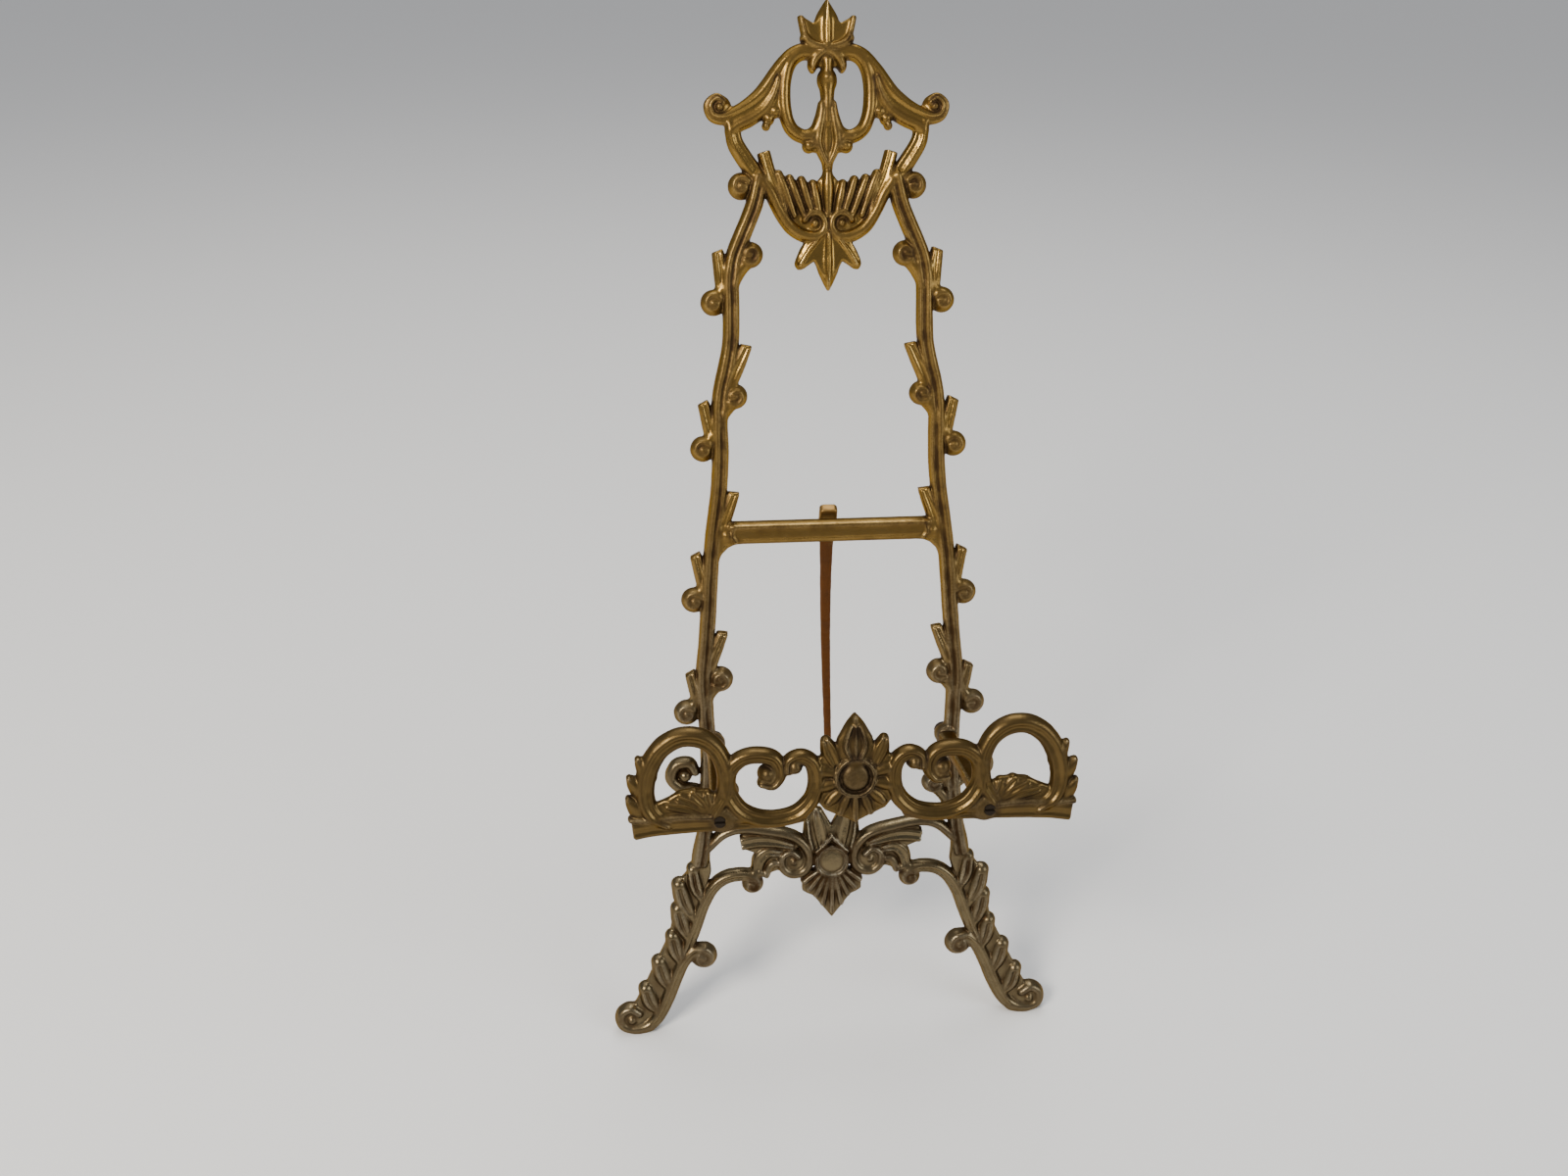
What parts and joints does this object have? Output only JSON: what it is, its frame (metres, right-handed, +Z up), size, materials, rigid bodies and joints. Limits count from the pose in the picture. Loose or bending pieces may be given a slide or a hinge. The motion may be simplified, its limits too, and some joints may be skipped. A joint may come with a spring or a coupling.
{
  "type": "display easel",
  "caption": "Ornate cast brass tabletop display easel with a scrollwork frame, pierced shelf fence and a hinged rear leg.",
  "frame": {"origin": "centre of the bounding box on the ground, under the open easel", "axes": "+X to the easel's left-to-right as seen from the front, +Y from the front of the shelf towards the rear leg, +Z up"},
  "size_m": [0.138, 0.1354, 0.2912],
  "materials": {
    "frame_brass": "aged, lightly polished on the ridges",
    "fence_brass": "aged dark patina with worn ridges",
    "leg_brass": "dark reddish patina",
    "screw_steel": "dull, blackened"
  },
  "bodies": {
    "stand": {"front_frame": "frame_brass", "hinge_pin": "leg_brass", "shelf_fence": "fence_brass", "shelf_arm_left": "fence_brass", "shelf_arm_right": "fence_brass", "fence_screw_left": "screw_steel", "fence_screw_right": "screw_steel", "arm_screw_left": "screw_steel", "arm_screw_right": "screw_steel"},
    "rear_leg": {"rear_leg": "leg_brass"}
  },
  "joints": [
    {"name": "rear_leg_hinge", "type": "hinge", "parent": "stand", "child": "rear_leg", "pos_m": [0, 0.01399, 0.15132], "axis": [-1, 0, 0], "range_deg": [0, 36]}
  ]
}
